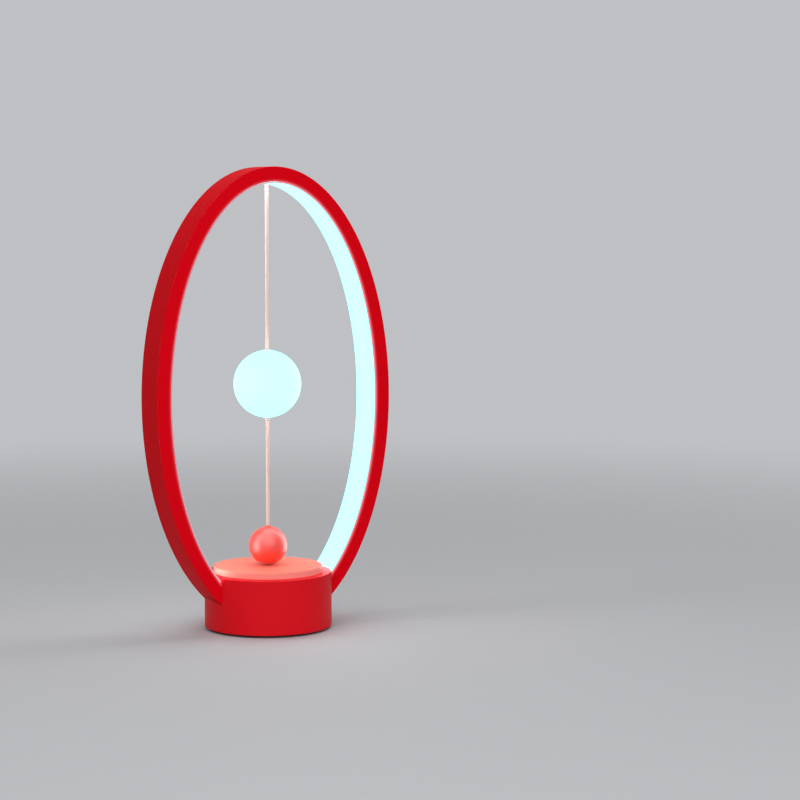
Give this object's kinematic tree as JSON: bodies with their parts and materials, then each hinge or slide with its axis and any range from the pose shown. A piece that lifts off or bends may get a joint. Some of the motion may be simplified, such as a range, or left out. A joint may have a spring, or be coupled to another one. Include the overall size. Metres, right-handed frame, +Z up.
{
  "type": "magnetic balance lamp",
  "caption": "Table lamp with a tall oval ring of light on a round base, a glowing globe hung on a cord and a small magnetic ball that switches it.",
  "frame": {"origin": "middle of the base, on the surface that the feet stand on", "axes": "+Z up; X across the ring's width; the front is -Y"},
  "size_m": [0.2, 0.101, 0.365],
  "materials": {
    "housing_red": "satin moulded",
    "underside_red": "fine textured",
    "ring_red": "satin moulded",
    "deck_coral": "fine textured",
    "ball_coral": "satin",
    "diffuser_opal": "frosted, lit from behind",
    "globe_opal": "frosted, lit from inside",
    "cord_cream": "braided",
    "cap_white": "turned",
    "inner_plastic": "plain moulded",
    "board_green": "solder mask",
    "board_white": "solder mask",
    "strip_white": "flexible circuit",
    "led_lens": "phosphor",
    "chip_black": "moulded",
    "wire_sleeve": "sleeve",
    "screw_steel": "zinc plated",
    "bracket_steel": "zinc plated",
    "ballast_steel": "oiled",
    "magnet_nickel": "nickel plated",
    "port_steel": "satin plated",
    "foot_rubber": "matt"
  },
  "bodies": {
    "stand": {"ballast": "ballast_steel", "base_magnet": "magnet_nickel", "base_shell": "housing_red", "board_parts": "chip_black", "board_screws": "screw_steel", "bottom_cover": "underside_red", "bottom_screws": "screw_steel", "bracket_screws": "screw_steel", "control_board": "board_green", "cord_tail": "cord_cream", "deck": "deck_coral", "deck_screws": "screw_steel", "diffuser": "diffuser_opal", "hall_sensor": "chip_black", "hanger_block": "inner_plastic", "hanger_socket": "cap_white", "led_strip": "strip_white", "magnet_keeper": "bracket_steel", "ring_bracket": "bracket_steel", "ring_channel": "ring_red", "ring_end_plugs": "inner_plastic", "ring_front_cover": "ring_red", "ring_screws": "screw_steel", "rubber_feet": "foot_rubber", "sensor_board": "board_green", "sensor_leads": "wire_sleeve", "sensor_screws": "screw_steel", "strip_leads": "wire_sleeve", "strip_leds": "led_lens", "strip_resistors": "chip_black", "usb_socket": "port_steel", "usb_tongue": "chip_black"},
    "hanger_swivel": {"upper_bead": "cord_cream"},
    "pendant_cord": {"upper_cord": "cord_cream"},
    "pendant_globe": {"globe_upper_shell": "globe_opal", "globe_lower_shell": "globe_opal", "globe_top_cap": "cap_white", "globe_bottom_cap": "cap_white", "tether_tail": "cord_cream", "globe_core": "inner_plastic", "globe_led_board": "board_white", "globe_leds": "led_lens"},
    "tether_swivel": {"lower_bead": "cord_cream"},
    "tether": {"lower_cord": "cord_cream"},
    "switch_ball": {"ball": "ball_coral", "ball_plug": "ball_coral", "ball_ferrule": "cap_white", "ball_magnet": "magnet_nickel"}
  },
  "joints": [
    {"name": "swing_out", "type": "hinge", "parent": "stand", "child": "hanger_swivel", "pos_m": [0, 0, 0.3522], "axis": [1, 0, 0], "range_deg": [-40, 40]},
    {"name": "swing_side", "type": "hinge", "parent": "hanger_swivel", "child": "pendant_cord", "pos_m": [0, 0, 0.3522], "axis": [0, 1, 0], "range_deg": [-5, 5]},
    {"name": "globe_twist", "type": "hinge", "parent": "pendant_cord", "child": "pendant_globe", "pos_m": [0, 0, 0.19435], "axis": [0, 0, 1], "range_deg": [-180, 180]},
    {"name": "tether_out", "type": "hinge", "parent": "pendant_cord", "child": "tether_swivel", "pos_m": [0, 0, 0.16675], "axis": [1, 0, 0], "range_deg": [-40, 40]},
    {"name": "tether_side", "type": "hinge", "parent": "tether_swivel", "child": "tether", "pos_m": [0, 0, 0.16675], "axis": [0, 1, 0], "range_deg": [-10, 10]},
    {"name": "ball_lift", "type": "slide", "parent": "tether", "child": "switch_ball", "axis": [0, 0, 1], "range_m": [0, 0.04], "deforming": ["lower_cord"]}
  ]
}
